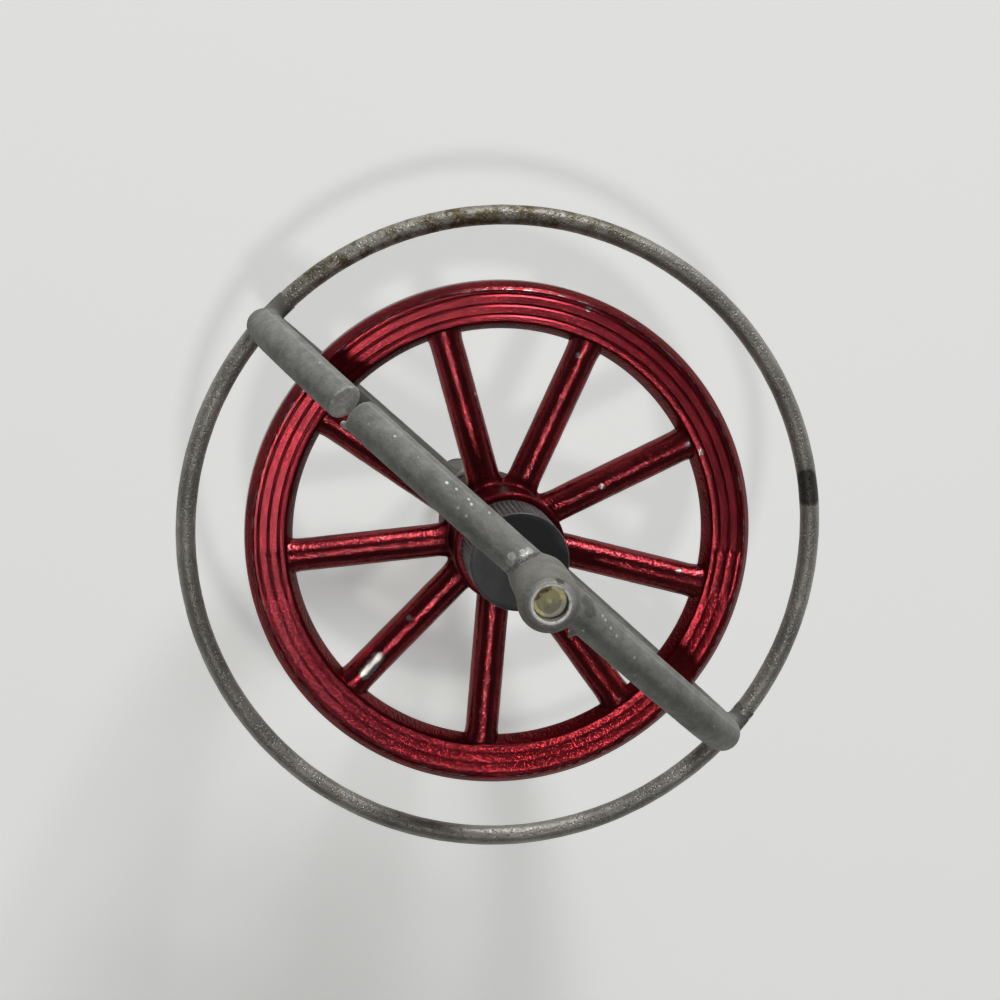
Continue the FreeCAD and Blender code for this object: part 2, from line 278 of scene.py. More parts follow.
def turned(name, corners, steps):
    """Turns a closed profile of (radius, height, rounding) corners, in millimetres, round the Z axis."""
    clear_selection()
    first = corners[0]
    bpy.ops.mesh.primitive_plane_add(size=MM, location=(first[0] * MM, 0, first[1] * MM))
    piece = adopt(name)
    bpy.ops.object.mode_set(mode="EDIT")
    bpy.ops.mesh.select_all(action="SELECT")
    bpy.ops.mesh.merge(type="CENTER")
    for here, there in zip(corners, corners[1:] + corners[:1]):
        step = ((there[0] - here[0]) * MM, 0, (there[1] - here[1]) * MM)
        bpy.ops.mesh.extrude_region_move(TRANSFORM_OT_translate={"value": step})
    bpy.ops.mesh.select_all(action="SELECT")
    bpy.ops.mesh.remove_doubles(threshold=0.001 * MM)
    for rounding in sorted({corner[2] for corner in corners if corner[2]}):
        spots = [Vector((c[0] * MM, 0, c[1] * MM)) for c in corners if c[2] == rounding]
        pick(piece, lambda co: any((co - spot).length < 0.002 * MM for spot in spots))
        bpy.ops.mesh.bevel(
            offset_type="OFFSET", offset=rounding * MM, segments=3, affect="VERTICES", clamp_overlap=False
        )
    bpy.ops.mesh.select_all(action="SELECT")
    bpy.ops.mesh.spin(steps=steps, angle=TURN, center=(0, 0, 0), axis=(0, 0, 1))
    close_shape()
    return piece


def facing_rear(piece, name):
    """A copy of a front piece, turned over to the rear end of the axis."""
    only(piece)
    bpy.ops.object.duplicate()
    copy = bpy.context.object
    copy.rotation_euler = (math.pi, 0, 0)
    return adopt(name)


def grain(piece, name, scale, depth):
    """Roughens the surface by an uneven noise, inwards only."""
    texture = bpy.data.textures.new(name, "CLOUDS")
    texture.noise_scale = scale * MM
    texture.noise_depth = 2
    apply(piece, "DISPLACE", texture=texture, texture_coords="LOCAL", strength=depth * MM, mid_level=1.0)


def smooth(piece, angle=35):
    """Shades the piece smooth, except over edges sharper than this angle in degrees."""
    only(piece)
    bpy.ops.object.shade_smooth_by_angle(angle=math.radians(angle))


def settle(piece, body, slot, finish, *nodes):
    """Gives a finished piece its body and its finish, and hides the CAD nodes that it stands for; the slot
    argument is not used.
    """
    piece.data.materials.clear()
    piece.data.materials.append(finish)
    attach(piece, body)
    if nodes:
        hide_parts(*nodes)


# ---------------------------------------------------------------- finishes


class Finish:
    """A material under construction: nodes are added by kind and joined by socket."""

    def __init__(self, name):
        self.material = bpy.data.materials.new(name)
        self.material.use_nodes = True
        self.tree = self.material.node_tree
        self.shader = self.tree.nodes["Principled BSDF"]
        self.place = self.add("ShaderNodeTexCoord").outputs["Object"]

    def add(self, kind, **settings):
        """A new node of this kind."""
        node = self.tree.nodes.new(kind)
        for key, value in settings.items():
            setattr(node, key, value)
        return node

    def feed(self, socket, value):
        """Joins a socket to another node's output, or sets it to a plain value."""
        if isinstance(value, bpy.types.NodeSocket):
            self.tree.links.new(value, socket)
        else:
            socket.default_value = value

    def set(self, name, value):
        """Feeds one of the shader's own sockets."""
        self.feed(self.shader.inputs[name], value)

    def noise(self, scale, detail=4.0, roughness=0.55, place=None):
        """Noise whose features are about this many millimetres across."""
        node = self.add("ShaderNodeTexNoise")
        self.feed(node.inputs["Vector"], place or self.place)
        self.feed(node.inputs["Scale"], 1 / (scale * MM))
        self.feed(node.inputs["Detail"], detail)
        self.feed(node.inputs["Roughness"], roughness)
        return node.outputs["Fac"]

    def cells(self, scale):
        """Distance to the nearest of scattered points about this many millimetres apart."""
        node = self.add("ShaderNodeTexVoronoi")
        self.feed(node.inputs["Vector"], self.place)
        self.feed(node.inputs["Scale"], 1 / (scale * MM))
        return node.outputs["Distance"]

    def span(self, value, low, high, start=0.0, end=1.0):
        """Maps a value from one range onto another, held at the ends."""
        node = self.add("ShaderNodeMapRange")
        for name, given in (
            ("Value", value), ("From Min", low), ("From Max", high), ("To Min", start), ("To Max", end),
        ):
            self.feed(node.inputs[name], given)
        return node.outputs["Result"]

    def math(self, operation, first, second=0.0, clamp=False):
        """One sum on two values."""
        node = self.add("ShaderNodeMath", operation=operation, use_clamp=clamp)
        self.feed(node.inputs[0], first)
        self.feed(node.inputs[1], second)
        return node.outputs[0]

    def blend(self, share, first, second):
        """Mixes two colours."""
        node = self.add("ShaderNodeMix", data_type="RGBA")
        self.feed(node.inputs[0], share)
        self.feed(node.inputs[6], first)
        self.feed(node.inputs[7], second)
        return node.outputs[2]

    def near(self, spot, radius, wobble):
        """1 close to a spot given in millimetres, 0 away from it, with an uneven edge."""
        node = self.add("ShaderNodeVectorMath", operation="DISTANCE")
        self.feed(node.inputs[0], self.place)
        self.feed(node.inputs[1], [part * MM for part in spot])
        reach = self.math("ADD", node.outputs["Value"], self.math("MULTIPLY", wobble, radius * 0.9 * MM))
        return self.span(reach, radius * 1.35 * MM, radius * 1.15 * MM)

    def any_near(self, spots, radius, wobble):
        """1 close to any of the spots."""
        total = None
        for spot in spots:
            mask = self.near(spot, radius, wobble)
            total = mask if total is None else self.math("MAXIMUM", total, mask)
        return total

    def axes(self):
        """The place's x, y and z, in metres."""
        node = self.add("ShaderNodeSeparateXYZ")
        self.feed(node.inputs[0], self.place)
        return node.outputs

    def radius(self):
        """Distance from the spin axis."""
        x, y, _ = self.axes()
        across = self.math("ADD", self.math("MULTIPLY", x, x), self.math("MULTIPLY", y, y))
        return self.math("SQRT", across)

    def bump(self, height, depth, under=None):
        """A bump of the given depth in millimetres, on top of another one."""
        node = self.add("ShaderNodeBump")
        self.feed(node.inputs["Height"], height)
        self.feed(node.inputs["Distance"], depth * MM)
        self.feed(node.inputs["Strength"], 1.0)
        if under is not None:
            self.feed(node.inputs["Normal"], under)
        return node.outputs["Normal"]


def cast_metal(name, base):
    """Bare die casting: matt grey metal, mottled, with a few bright nicks."""
    f = Finish(name)
    mottle = f.noise(1.3, 5.0, 0.65)
    cloud = f.noise(6.0, 2.0)
    fine = f.noise(0.16, 2.0, 0.6)
    shade = f.math("ADD", f.math("MULTIPLY", mottle, 0.5), f.math("MULTIPLY", cloud, 0.3))
    shade = f.span(f.math("ADD", shade, f.math("MULTIPLY", fine, 0.2)), 0.38, 0.62)
    dull = [c * 0.7 for c in base[:3]] + [1]
    pale = [min(1, c * 1.25) for c in base[:3]] + [1]
    skin = f.blend(shade, dull, pale)
    rust = f.span(f.noise(3.2, 5.0, 0.7), 0.6, 0.74, 0.0, 0.4)
    skin = f.blend(rust, skin, (0.13, 0.09, 0.065, 1))
    wobble = f.noise(0.35, 4.0, 0.7)
    specks = f.span(f.cells(1.5), 0.085, 0.045)
    nicks = f.math("MULTIPLY", specks, f.span(f.noise(4.0, 2.0), 0.48, 0.54), clamp=True)
    rough = f.span(mottle, 0.3, 0.7, 0.76, 0.62)
    grainy = f.bump(fine, 0.012)
    pitted = f.bump(f.span(f.noise(0.5, 3.0, 0.6), 0.3, 0.6), 0.03, grainy)
    f.set("Metallic", 0.12)
    f.set("Specular IOR Level", 0.28)
    return f, skin, rough, nicks, wobble, f.bump(wobble, 0.015, pitted)


def cast_grey(base, split, along, lean):
    """The upright frame's metal: worn spots, a seam at the boss, dark collars, and painted shade on the far
    half, on the boss's side wall and beside the boss.
    """
    f, skin, rough, nicks, wobble, relief = cast_metal("cast_grey", base)
    x, y, z = f.axes()
    # Painted shade and painted reflection of the red wheel: the boss's side wall is blended towards a darker
    # brown.
    wall = f.math("MULTIPLY", f.span(f.radius(), 3.7 * MM, 3.2 * MM), f.span(z, 31.5 * MM, 32.5 * MM))
    skin = f.blend(f.math("MULTIPLY", wall, 0.35), skin, (0.17, 0.14, 0.105, 1))
    # Painted shade: the frame grows darker from just above the equator towards the rear end of the axis.
    skin = f.blend(f.span(z, 4 * MM, -12 * MM, 0.0, 0.7), skin, (0.05, 0.045, 0.033, 1))
    level = f.span(f.math("ABSOLUTE", z), 1.9 * MM, 1.5 * MM)
    sleeve = f.math("MULTIPLY", f.span(y, 1.8 * MM, 2.3 * MM), level)
    skin = f.blend(f.math("MULTIPLY", sleeve, 0.5), skin, (0.07, 0.062, 0.052, 1))
    middle = f.math("SUBTRACT", y, f.math("MULTIPLY", z, math.tan(lean)))
    parting = f.math("ADD", middle, f.span(wobble, 0.3, 0.7, -0.08 * MM, 0.08 * MM))
    parting = f.span(f.math("ABSOLUTE", f.math("SUBTRACT", parting, 1.3 * MM)), 0.13 * MM, 0.04 * MM)
    parting = f.math("MULTIPLY", parting, f.span(f.math("ABSOLUTE", x), 7 * MM, 10 * MM))
    skin = f.blend(f.math("MULTIPLY", parting, 0.22), skin, (0.5, 0.49, 0.46, 1))
    depth = f.add("ShaderNodeVectorMath", operation="DOT_PRODUCT")
    f.feed(depth.inputs[0], f.place)
    f.feed(depth.inputs[1], along)
    cut = f.math("SUBTRACT", depth.outputs["Value"], split.dot(along))
    cut = f.span(f.math("ABSOLUTE", cut), 1.42 * MM, 1.3 * MM)
    cut = f.math("MULTIPLY", cut, f.span(x, -15 * MM, -17 * MM))
    skin = f.blend(f.math("MULTIPLY", cut, f.span(wobble, 0.4, 0.6, 0.35, 0.85)), skin, (0.6, 0.595, 0.56, 1))
    # Painted shadow: dark spots where the boss overhangs the bar.
    boss_shadow = f.any_near(BOSS_PAINTED_SHADOW, 0.8, wobble)
    skin = f.blend(f.math("MULTIPLY", boss_shadow, 0.4), skin, (0.03, 0.027, 0.022, 1))
    seam = f.math("ADD", f.radius(), f.span(wobble, 0.3, 0.7, -0.25 * MM, 0.25 * MM))
    crack = f.span(f.math("ABSOLUTE", f.math("SUBTRACT", seam, 3.5 * MM)), 0.1 * MM, 0.04 * MM)
    beside = f.math("MULTIPLY", f.span(x, -1.6 * MM, -2.1 * MM), f.span(z, 30.6 * MM, 31.0 * MM))
    crack = f.math("MULTIPLY", crack, beside)
    # Rubbed metal beside the seam, painted lighter: part real wear, part painted sheen.
    rub_and_sheen = f.any_near(SEAM_RUB_AND_SHEEN, 0.5, wobble)
    nicks = f.math("MAXIMUM", nicks, f.any_near(BAR_NICKS, 0.18, wobble))
    skin = f.blend(f.math("MULTIPLY", rub_and_sheen, 0.6), skin, (0.62, 0.615, 0.58, 1))
    skin = f.blend(f.math("MULTIPLY", nicks, 0.5), skin, (0.78, 0.775, 0.74, 1))
    f.set("Base Color", f.blend(f.math("MULTIPLY", crack, 0.6), skin, (0.02, 0.018, 0.015, 1)))
    bright = f.math("MAXIMUM", nicks, rub_and_sheen)
    f.set("Roughness", f.math("SUBTRACT", rough, f.math("MULTIPLY", bright, 0.25)))
    f.set("Metallic", f.math("ADD", 0.12, f.math("MULTIPLY", rub_and_sheen, 0.4)))
    relief = f.bump(parting, 0.015, relief)
    f.set("Normal", f.bump(f.math("SUBTRACT", 1.0, crack), 0.05, relief))
    return f.material


def cup_steel(base):
    """The same dull metal, rubbed bright on the socket's lip and stained beside it."""
    f, skin, rough, nicks, wobble, relief = cast_metal("cup_steel", base)
    _, _, z = f.axes()
    level = f.math("ADD", f.math("ABSOLUTE", z), f.span(wobble, 0.3, 0.7, -0.1 * MM, 0.1 * MM))
    lip = f.span(level, 37.26 * MM, 37.36 * MM)
    skin = f.blend(f.math("MULTIPLY", nicks, 0.8), skin, (0.72, 0.71, 0.68, 1))
    inner = f.math("MULTIPLY", lip, f.span(f.radius(), 1.82 * MM, 1.72 * MM))
    skin = f.blend(f.math("MULTIPLY", lip, 0.4), skin, (0.6, 0.59, 0.55, 1))
    skin = f.blend(f.math("MULTIPLY", inner, 0.9), skin, (0.85, 0.84, 0.8, 1))
    stain = f.any_near(NOSE_STAINS, 0.5, wobble)
    f.set("Base Color", f.blend(f.math("MULTIPLY", stain, 0.8), skin, (0.05, 0.035, 0.018, 1)))
    f.set("Roughness", f.math("SUBTRACT", rough, f.math("MULTIPLY", lip, 0.2)))
    f.set("Normal", relief)
    return f.material


def ring_steel(steel, stain):
    """Dark steel wire, rubbed bright in spots, with pits, streaks, brown stains and painted glints near the
    collars.
    """
    f = Finish("ring_steel")
    patch = f.noise(5.0, 5.0, 0.6)
    fine = f.noise(0.22, 4.0, 0.65)
    dark = [c * 0.62 for c in steel[:3]] + [1]
    skin = f.blend(f.span(patch, 0.38, 0.62), steel, dark)
    x, y, _ = f.axes()
    upper_left = f.math("ADD", f.math("MULTIPLY", x, -0.8), f.math("MULTIPLY", y, 0.6))
    side_ramp = f.span(upper_left, 24 * MM, 29 * MM)
    brown = f.math("MULTIPLY", side_ramp, f.span(f.noise(1.3, 5.0, 0.7), 0.42, 0.6))
    brown = f.math("MAXIMUM", brown, f.span(f.noise(7.0, 6.0, 0.7), 0.6, 0.7, 0.0, 0.6))
    skin = f.blend(brown, skin, stain)
    black = f.any_near(RING_SOOT, 1.6, patch)
    skin = f.blend(f.math("MULTIPLY", black, 0.85), skin, (0.035, 0.03, 0.027, 1))
    wear_and_glints = f.span(f.cells(0.5), 0.2, 0.08)
    wear_and_glints = f.math("MULTIPLY", wear_and_glints, f.span(f.noise(3.0, 3.0), 0.44, 0.56), clamp=True)
    beside = f.span(f.math("ABSOLUTE", x), 20 * MM, 29 * MM)
    # Painted glints: pale sparkle spots near the collars, joined to the real wear.
    glint = f.math("MULTIPLY", f.span(f.cells(0.32), 0.36, 0.16), f.span(f.noise(0.9, 3.0, 0.7), 0.42, 0.58))
    wear_and_glints = f.math("MAXIMUM", wear_and_glints, f.math("MULTIPLY", glint, beside))
    wear_and_glints = f.math("MULTIPLY", wear_and_glints, f.math("SUBTRACT", 1.0, black))
    skin = f.blend(f.math("MULTIPLY", wear_and_glints, 0.75), skin, (0.72, 0.7, 0.65, 1))
    f.set("Base Color", skin)
    f.set("Metallic", f.math("SUBTRACT", 0.7, f.math("MULTIPLY", wear_and_glints, 0.3)))
    f.set("Roughness", f.span(fine, 0.3, 0.7, 0.4, 0.56))
    rough = f.bump(fine, 0.04)
    f.set("Normal", f.bump(f.span(f.cells(0.34), 0.0, 0.4), 0.06, rough))
    return f.material


def wheel_red(lacquer):
    """Deep red lacquer over a rough bright casting, chipped to the grey metal on its edges."""
    f = Finish("wheel_red")
    fine = f.noise(0.2, 2.0, 0.5)
    broad = f.noise(0.8, 2.0, 0.5)
    deep = [c * 0.6 for c in lacquer[:3]] + [1]
    x, y, z = f.axes()
    across = f.radius()
    # The marks are finer than the eye resolves, so they only soften the rim's highlight.
    turning = f.add("ShaderNodeCombineXYZ")
    for socket, value, length in zip(turning.inputs, (across, x, y), (0.13, 2.2, 2.2)):
        f.feed(socket, f.math("DIVIDE", value, length * MM))
    marks = f.noise(1.0, 1.0, 0.5, turning.outputs[0])
    height = f.math("ABSOLUTE", z)
    on_rim = f.math("MULTIPLY", f.span(across, 20.7 * MM, 20.95 * MM), f.span(height, 1.5 * MM, 1.65 * MM))
    marks = f.math("MULTIPLY", marks, on_rim)
    gritty = f.math("MULTIPLY", f.span(x, 3 * MM, 16 * MM), f.span(y, 15 * MM, 9 * MM))
    grit = f.math("MULTIPLY", f.noise(0.17, 1.0, 0.5), f.math("MULTIPLY", gritty, on_rim))
    paint = f.blend(f.span(f.noise(2.4, 4.0, 0.6), 0.35, 0.65), lacquer, deep)
    wobble = f.noise(0.3, 4.0, 0.7)
    chips = f.span(f.cells(2.6), 0.075, 0.05)
    chips = f.math("MULTIPLY", chips, f.span(f.noise(6.0, 2.0), 0.56, 0.6), clamp=True)
    chips = f.math("MAXIMUM", chips, f.any_near(LACQUER_CHIPS, 0.36, wobble))
    bare = f.any_near(BARE_METAL, 0.75, wobble)
    edge = f.span(f.math("ABSOLUTE", f.math("SUBTRACT", across, 24.07 * MM)), 0.2 * MM, 0.08 * MM)
    edge = f.math("MULTIPLY", edge, f.span(height, 1.6 * MM, 1.7 * MM))
    edge = f.math("MULTIPLY", edge, f.span(f.noise(0.9, 5.0, 0.7), 0.5, 0.58), clamp=True)
    chips = f.math("MAXIMUM", chips, f.math("MULTIPLY", edge, 0.75))
    skin = f.blend(chips, paint, (0.42, 0.39, 0.37, 1))
    skin = f.blend(bare, skin, (0.5, 0.48, 0.45, 1))
    # Painted shade: the hub and the smooth rim face are darkened, the rim most towards -y.
    hub = f.span(across, 6.2 * MM, 5.7 * MM)
    side_ramp = f.span(y, -8 * MM, -19 * MM, 0.32, 0.6)
    smooth_rim = f.math("SUBTRACT", on_rim, f.math("MULTIPLY", on_rim, gritty))
    shaded = f.math("MAXIMUM", f.math("MULTIPLY", hub, 0.55), f.math("MULTIPLY", smooth_rim, side_ramp))
    f.set("Base Color", f.blend(shaded, skin, (0.05, 0.006, 0.01, 1)))
    f.set("Metallic", 0.92)
    f.set("Specular Tint", (0.2, 0.08, 0.08, 1))
    sheen = f.math("ADD", f.span(fine, 0.35, 0.65, 0.18, 0.25), f.math("MULTIPLY", hub, 0.2))
    f.set("Roughness", f.math("SUBTRACT", sheen, f.math("MULTIPLY", on_rim, 0.035)))
    calm = f.span(on_rim, 0.0, 1.0, 1.0, 0.02)
    casting = f.bump(f.math("MULTIPLY", broad, calm), 0.03)
    casting = f.bump(f.math("MULTIPLY", fine, calm), 0.04, casting)
    casting = f.bump(grit, 0.012, casting)
    relief = f.bump(marks, 0.004, casting)
    f.set("Normal", relief)
    f.set("Coat Weight", f.span(f.math("MAXIMUM", hub, on_rim), 0.0, 1.0, 0.42, 0.12))
    f.set("Coat Roughness", 0.1)
    f.set("Coat IOR", 1.5)
    f.set("Coat Normal", relief)
    return f.material


def drum_black(black):
    """Satin black with faint waviness, worn pale on its knurls."""
    f = Finish("drum_black")
    haze = f.noise(1.8, 4.0, 0.6)
    scuff = f.span(f.noise(0.25, 5.0, 0.75), 0.62, 0.7, 0.0, 0.5)
    skin = f.blend(scuff, black, (0.06, 0.06, 0.065, 1))
    across = f.radius()
    crest = f.span(across, 4.5 * MM, 4.62 * MM)
    crest = f.math("MULTIPLY", crest, f.span(f.noise(0.5, 4.0, 0.7), 0.42, 0.6))
    skin = f.blend(f.math("MULTIPLY", crest, 0.5), skin, (0.16, 0.145, 0.13, 1))
    f.set("Base Color", skin)
    f.set("Roughness", f.math("ADD", f.span(haze, 0.35, 0.65, 0.42, 0.5), f.math("MULTIPLY", scuff, 0.2)))
    f.set("Specular IOR Level", 0.55)
    f.set("Normal", f.bump(haze, 0.012, f.bump(f.noise(0.12, 2.0), 0.003)))
    return f.material


def bearing_brass():
    """Yellow brass: painted shadow brown on one side of the socket's floor, painted reflection grey on the
    other, painted shade dark at the rear.
    """
    f = Finish("bearing_brass")
    patch = f.noise(0.9, 4.0, 0.65)
    x, _, z = f.axes()
    drift = f.math("ADD", x, f.span(patch, 0.3, 0.7, -0.8 * MM, 0.8 * MM))
    brass = f.blend(f.span(patch, 0.35, 0.65), (0.98, 0.87, 0.38, 1), (1.0, 0.95, 0.62, 1))
    # Painted reflection: grey towards +x.
    brass = f.blend(f.span(drift, 0.3 * MM, 0.9 * MM, 0.0, 0.8), brass, (0.6, 0.57, 0.5, 1))
    # Painted shadow: dark brown towards -x.
    brass = f.blend(f.span(drift, -0.5 * MM, -1.0 * MM, 0.0, 0.85), brass, (0.2, 0.12, 0.04, 1))
    # Painted shade: the rear bearing is darkened.
    f.set("Base Color", f.blend(f.span(z, 0.0, -5 * MM, 0.0, 0.85), brass, (0.06, 0.045, 0.03, 1)))
    f.set("Metallic", 0.3)
    f.set("Roughness", f.span(patch, 0.3, 0.7, 0.4, 0.52))
    f.set("Normal", f.bump(f.noise(0.25, 2.0, 0.5), 0.06))
    return f.material


def axle_steel():
    """Bright drawn steel with turning marks."""
    f = Finish("axle_steel")
    stretch = f.add("ShaderNodeMapping")
    f.feed(stretch.inputs["Vector"], f.place)
    f.feed(stretch.inputs["Scale"], (0.15, 0.15, 6.0))
    marks = f.noise(0.5, 4.0, 0.7, stretch.outputs["Vector"])
    tarnish = f.span(f.noise(2.0, 4.0), 0.45, 0.65)
    f.set("Base Color", f.blend(tarnish, (0.5, 0.49, 0.47, 1), (0.28, 0.26, 0.24, 1)))
    f.set("Metallic", 1.0)
    f.set("Roughness", f.span(marks, 0.3, 0.7, 0.2, 0.36))
    f.set("Normal", f.bump(marks, 0.006))
    return f.material


# ---------------------------------------------------------------- pieces


class MakeRing(bpy.types.Operator):
    """Models the wire ring round the equator"""

    bl_idname = "gyroscope.make_ring"
    bl_label = "Equator ring"

    def execute(self, context):
        sizes = context.scene.gyroscope_ring
        middle = (ring_low + ring_high) / 2
        line = (ring_high.x - ring_low.x) / 2 - sizes.wire_radius
        clear_selection()
        bpy.ops.mesh.primitive_torus_add(
            location=middle, major_radius=line, minor_radius=sizes.wire_radius,
            major_segments=640, minor_segments=28,
        )
        ring = adopt("ring_wire")
        grain(ring, "wire_wear", 1.4, 0.05)
        grain(ring, "wire_pits", 0.45, 0.03)
        smooth(ring, 80)
        settle(ring, "frame", "ring_steel", ring_steel(sizes.steel, sizes.stain), "equator_ring")
        return {"FINISHED"}


def collar(name, line, offset, side, wire):
    """A tapered sleeve on one side of the bar, solid until the wire's tunnel is cut."""
    reach = 3.1 * MM / line
    clear_selection()
    bpy.ops.mesh.primitive_circle_add(
        vertices=36, radius=wire + 0.06 * MM, location=(side * line, 0, 0), rotation=(math.pi / 2, 0, 0)
    )
    piece = adopt(name)
    piece.rotation_euler = (0, 0, side * reach)
    bpy.ops.object.transform_apply(rotation=True)
    bpy.ops.object.mode_set(mode="EDIT")
    bpy.ops.mesh.select_all(action="SELECT")
    bpy.ops.mesh.spin(steps=16, angle=side * reach, center=(0, 0, 0), axis=(0, 0, 1))
    pick(piece, lambda co: co.y < 1.9 * MM)
    bpy.ops.transform.resize(value=(1, 1, 1.1), center_override=(0, 0, 0))
    bpy.ops.mesh.select_all(action="SELECT")
    bpy.ops.mesh.fill_holes(sides=64)
    bpy.ops.transform.translate(value=(0, offset, 0))
    close_shape()
    return piece


def eye(name, shoulder, low, seat):
    """The boss that carries a pivot cup, drawn out along the bar at its foot; its bore is cut later.

    Each level is its height, its reach towards the split, away from it and across the bar, and its shift.
    """
    foot = EYE_FOOT_RADIUS
    levels = (
        (low, foot, foot, 2.5, 0.5), (low + 2.4, 3.9, 2.9, 2.5, 0.5), (low + 3.5, 3.6, 2.75, 2.5, 0.45),
        (low + 5.0, 3.28, 2.7, 2.58, 0.3), (low + 6.6, 3.0, 2.75, 2.74, 0.12),
    )
    side = [(foot, level, 0) for level, _, _, _, _ in levels]
    top = [(shoulder, seat - 0.8, 0.25), (2.3, seat, 0.2), (0, seat, 0)]
    piece = turned(name, [(0, low, 0)] + side + top, 96)

    def at_level(co):
        return abs(co.z - level * MM) < 0.01 * MM and math.hypot(co.x, co.y) > 2 * MM

    bpy.ops.object.mode_set(mode="EDIT")
    for level, towards_split, away, across, shift in levels:
        for sign, along in ((-1, towards_split), (1, away)):
            pick(piece, lambda co: at_level(co) and sign * co.x > 0)
            bpy.ops.transform.resize(value=(along / foot, 1, 1), center_override=(0, 0, 0))
        pick(piece, at_level)
        bpy.ops.transform.resize(value=(1, across / foot, 1), center_override=(0, 0, 0))
        bpy.ops.transform.translate(value=(0, shift * MM, 0))
    bpy.ops.object.mode_set(mode="OBJECT")
    return piece


def pull(piece, spot, reach, step, spread):
    """Moves the points round a spot by a step, and their surroundings less and less, all in millimetres."""
    edit(piece)
    centre = Vector(spot) * MM
    pick(piece, lambda co: (co - centre).length < reach * MM)
    bpy.ops.transform.translate(
        value=Vector(step) * MM, use_proportional_edit=True, proportional_edit_falloff="SMOOTH",
        proportional_size=spread * MM,
    )
    bpy.ops.object.mode_set(mode="OBJECT")


def lump(name, place, length, turn):
    """A small flattened bead of metal, in millimetres."""
    clear_selection()
    bpy.ops.mesh.primitive_uv_sphere_add(
        segments=24, ring_count=16, radius=MM, location=[part * MM for part in place],
        rotation=turn, scale=[part / 2 for part in length],
    )
    return adopt(name)


class MakeCasting(bpy.types.Operator):
    """Models the upright frame: split bar, eyes and collars as one soft-edged casting"""

    bl_idname = "gyroscope.make_casting"
    bl_label = "Upright frame"

    def execute(self, context):
        sizes = context.scene.gyroscope_casting
        wire = context.scene.gyroscope_ring.wire_radius
        outer = (casting_high.x - casting_low.x) / 2
        bar_line = outer - sizes.bar_radius
        ring_line = (ring_high.x - ring_low.x) / 2 - wire
        offset = (ring_high.y + ring_low.y) / 2
        seat = casting_high.z / MM
        clear_selection()
        bpy.ops.mesh.primitive_torus_add(
            rotation=(math.pi / 2 - sizes.lean, 0, 0), major_radius=bar_line, minor_radius=sizes.bar_radius,
            major_segments=360, minor_segments=48,
        )
        bar = adopt("frame_casting")
        latitude = sizes.split_latitude
        split = Vector((-bar_line * math.cos(latitude), 0, bar_line * math.sin(latitude)))
        along = Vector((math.sin(latitude), 0, math.cos(latitude)))
        bpy.ops.mesh.primitive_cube_add(
            location=split, rotation=(0, latitude, 0), scale=(4 * MM, 4 * MM, sizes.split_gap / 2),
        )
        bpy.context.object.data.name = "split_saw"
        combine(bar, bpy.context.object, "DIFFERENCE")
        pull(bar, BAR_END, 3.0, BAR_END_STEP, 14.0)
        foot = bearing_low.z / MM
        front_eye = eye("front_eye", sizes.shoulder / MM, foot, seat)
        rear_eye = facing_rear(eye("rear_eye_front", REAR_EYE_SHOULDER, foot, seat), "rear_eye")
        only(rear_eye)
        bpy.ops.transform.resize(value=(REAR_EYE_SHARE, REAR_EYE_SHARE, 1), center_override=(0, 0, 0))
        bpy.ops.object.transform_apply(location=True, scale=True)
        bpy.data.objects.remove(bpy.data.objects["rear_eye_front"])
        parts = [
            bar,
            front_eye,
            rear_eye,
            collar("near_collar", ring_line, offset, 1, wire),
            collar("far_collar", ring_line, offset, -1, wire),
            lump("split_burr", BURR_PLACE, BURR_SIZE, (0, latitude, 0)),
            lump("shoulder_bead", BEAD_PLACE, BEAD_SIZE, (0, 0, 0)),
        ]
        casting = weld("frame_casting", parts)
        apply(casting, "REMESH", mode="VOXEL", voxel_size=0.17 * MM)
        apply(casting, "SMOOTH", factor=0.5, iterations=5)
        grain(casting, "casting_waves", 2.2, 0.035)
        grain(casting, "casting_skin", 0.6, 0.02)
        clear_selection()
        bpy.ops.mesh.primitive_torus_add(
            location=(0, offset, 0), major_radius=ring_line, minor_radius=wire + 0.02 * MM,
            major_segments=360, minor_segments=32,
        )
        combine(casting, bpy.context.object, "DIFFERENCE")
        clear_selection()
        bpy.ops.mesh.primitive_cylinder_add(vertices=96, radius=BORE_RADIUS * MM, depth=3 * outer)
        combine(casting, bpy.context.object, "DIFFERENCE")
        smooth(casting)
        finish = cast_grey(sizes.grey, split, along, sizes.lean)
        settle(casting, "frame", "cast_grey", finish, "axle_frame")
        return {"FINISHED"}


class MakeCups(bpy.types.Operator):
    """Models the two pivot cups with their worn lips and open sockets"""

    bl_idname = "gyroscope.make_cups"
    bl_label = "Pivot cups"

    def execute(self, context):
        low, lip = cup_low.z / MM, cup_high.z / MM
        seat, floor = casting_high.z / MM, bearing_high.z / MM
        cup = turned("front_cup", [
            (1.67, low, 0), (2.05, low, 0.1), (2.05, seat, 0), (2.3, seat, 0.05),
            (2.08, lip - 0.24, 0.1), (1.93, lip, 0.12), (1.5, lip, 0.12), (1.5, floor, 0), (1.67, floor, 0),
        ], 160)
        grain(cup, "cup_wear", 0.9, 0.05)
        rear = facing_rear(cup, "rear_cup")
        finish = cup_steel(context.scene.gyroscope_casting.grey)
        for piece, node in ((cup, "front_pivot_cup"), (rear, "rear_pivot_cup")):
            smooth(piece)
            settle(piece, "frame", "cast_grey", finish, node)
        return {"FINISHED"}


